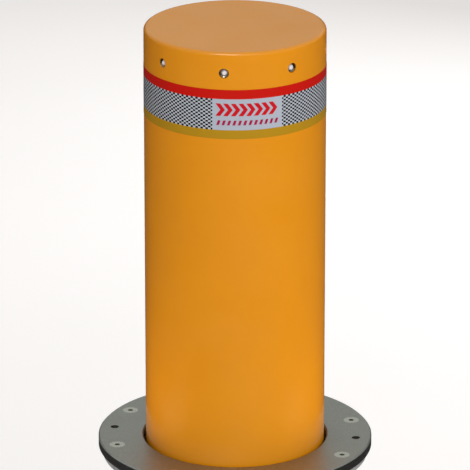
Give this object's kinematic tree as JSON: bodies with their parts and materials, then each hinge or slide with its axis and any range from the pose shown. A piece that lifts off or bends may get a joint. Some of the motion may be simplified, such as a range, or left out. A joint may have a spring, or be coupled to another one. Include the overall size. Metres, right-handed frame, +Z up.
{
  "type": "retractable bollard",
  "caption": "Round steel post with a lit head and reflective band that a hydraulic ram lowers into a buried casing, leaving its top flush with a bolted ground ring.",
  "frame": {"origin": "on the post's axis at finished ground level, which is the top face of the ground ring", "axes": "+Z up along the post; front, where a lamp faces straight ahead, is -Y; drain outlet at +X; conduit inlet at the rear, +Y"},
  "size_m": [0.383, 0.383, 1.3776],
  "materials": {
    "signal_paint": "gloss yellow-orange powder coat",
    "reflective_film": "retroreflective film: red stripe, black and silver check, mustard stripe",
    "galvanised_steel": "hot-dip galvanised, dull spangle",
    "stainless_steel": "brushed stainless",
    "bare_steel": "machined, lightly oiled",
    "plated_fasteners": "zinc plated",
    "hard_chrome": "polished",
    "dark_chrome": "polished, smoke-tinted",
    "ram_paint": "satin black enamel",
    "black_rubber": "matt moulded",
    "white_plastic": "machined acetal",
    "black_plastic": "cable sheath",
    "grey_plastic": "moulded enclosure",
    "magnet": "ferrite",
    "circuit_board": "solder mask",
    "clear_lens": "clear"
  },
  "bodies": {
    "root": {"casing_tube": "galvanised_steel", "casing_flange": "galvanised_steel", "casing_base_plate": "galvanised_steel", "anchor_lugs": "galvanised_steel", "drain_stub": "galvanised_steel", "drain_strainer": "stainless_steel", "conduit_stub": "galvanised_steel", "ground_ring": "stainless_steel", "ground_ring_screws": "plated_fasteners", "wiper_seal": "black_rubber", "seal_clamp_ring": "stainless_steel", "guide_sleeve": "stainless_steel", "guide_sleeve_screws": "plated_fasteners", "upper_guide_bush": "white_plastic", "lower_guide_bush": "white_plastic", "raised_stop_bumper": "black_rubber", "landing_bumpers": "black_rubber", "guide_rails": "bare_steel", "guide_rail_screws": "plated_fasteners", "ram_base": "ram_paint", "ram_base_screws": "plated_fasteners", "ram_barrel": "ram_paint", "ram_gland": "ram_paint", "rod_wiper": "black_rubber", "hose_nipple": "plated_fasteners", "pressure_hose": "black_plastic", "hose_coupling": "plated_fasteners", "junction_box": "grey_plastic", "junction_box_lid": "grey_plastic", "junction_box_screws": "plated_fasteners", "cable_glands": "black_plastic", "supply_cable": "black_plastic", "supply_connector": "black_plastic", "sensor_mast": "bare_steel", "position_sensors": "black_plastic", "sensor_lead": "black_plastic", "coiled_lead": "black_plastic"},
    "post": {"post_tube": "signal_paint", "foot_flange": "bare_steel", "foot_guide_ring": "white_plastic", "foot_guide_screws": "plated_fasteners", "position_magnet": "magnet", "crosshead": "bare_steel", "rod_nuts": "plated_fasteners", "piston_rod": "hard_chrome", "piston": "bare_steel", "piston_seals": "black_rubber", "lead_grommet": "black_rubber", "head_cap": "signal_paint", "head_collar": "stainless_steel", "cap_seal": "black_rubber", "cap_set_screws": "plated_fasteners", "warning_band": "reflective_film", "lamp_board": "circuit_board", "board_standoffs": "plated_fasteners", "board_screws": "plated_fasteners", "lamp_bezels": "dark_chrome", "lamp_lenses": "clear_lens", "lamp_nuts": "plated_fasteners", "lamp_leads": "black_plastic"}
  },
  "joints": [
    {"name": "post_lift", "type": "slide", "parent": "root", "child": "post", "axis": [0, 0, 1], "range_m": [-0.522, 0], "deforming": ["coiled_lead"]}
  ]
}
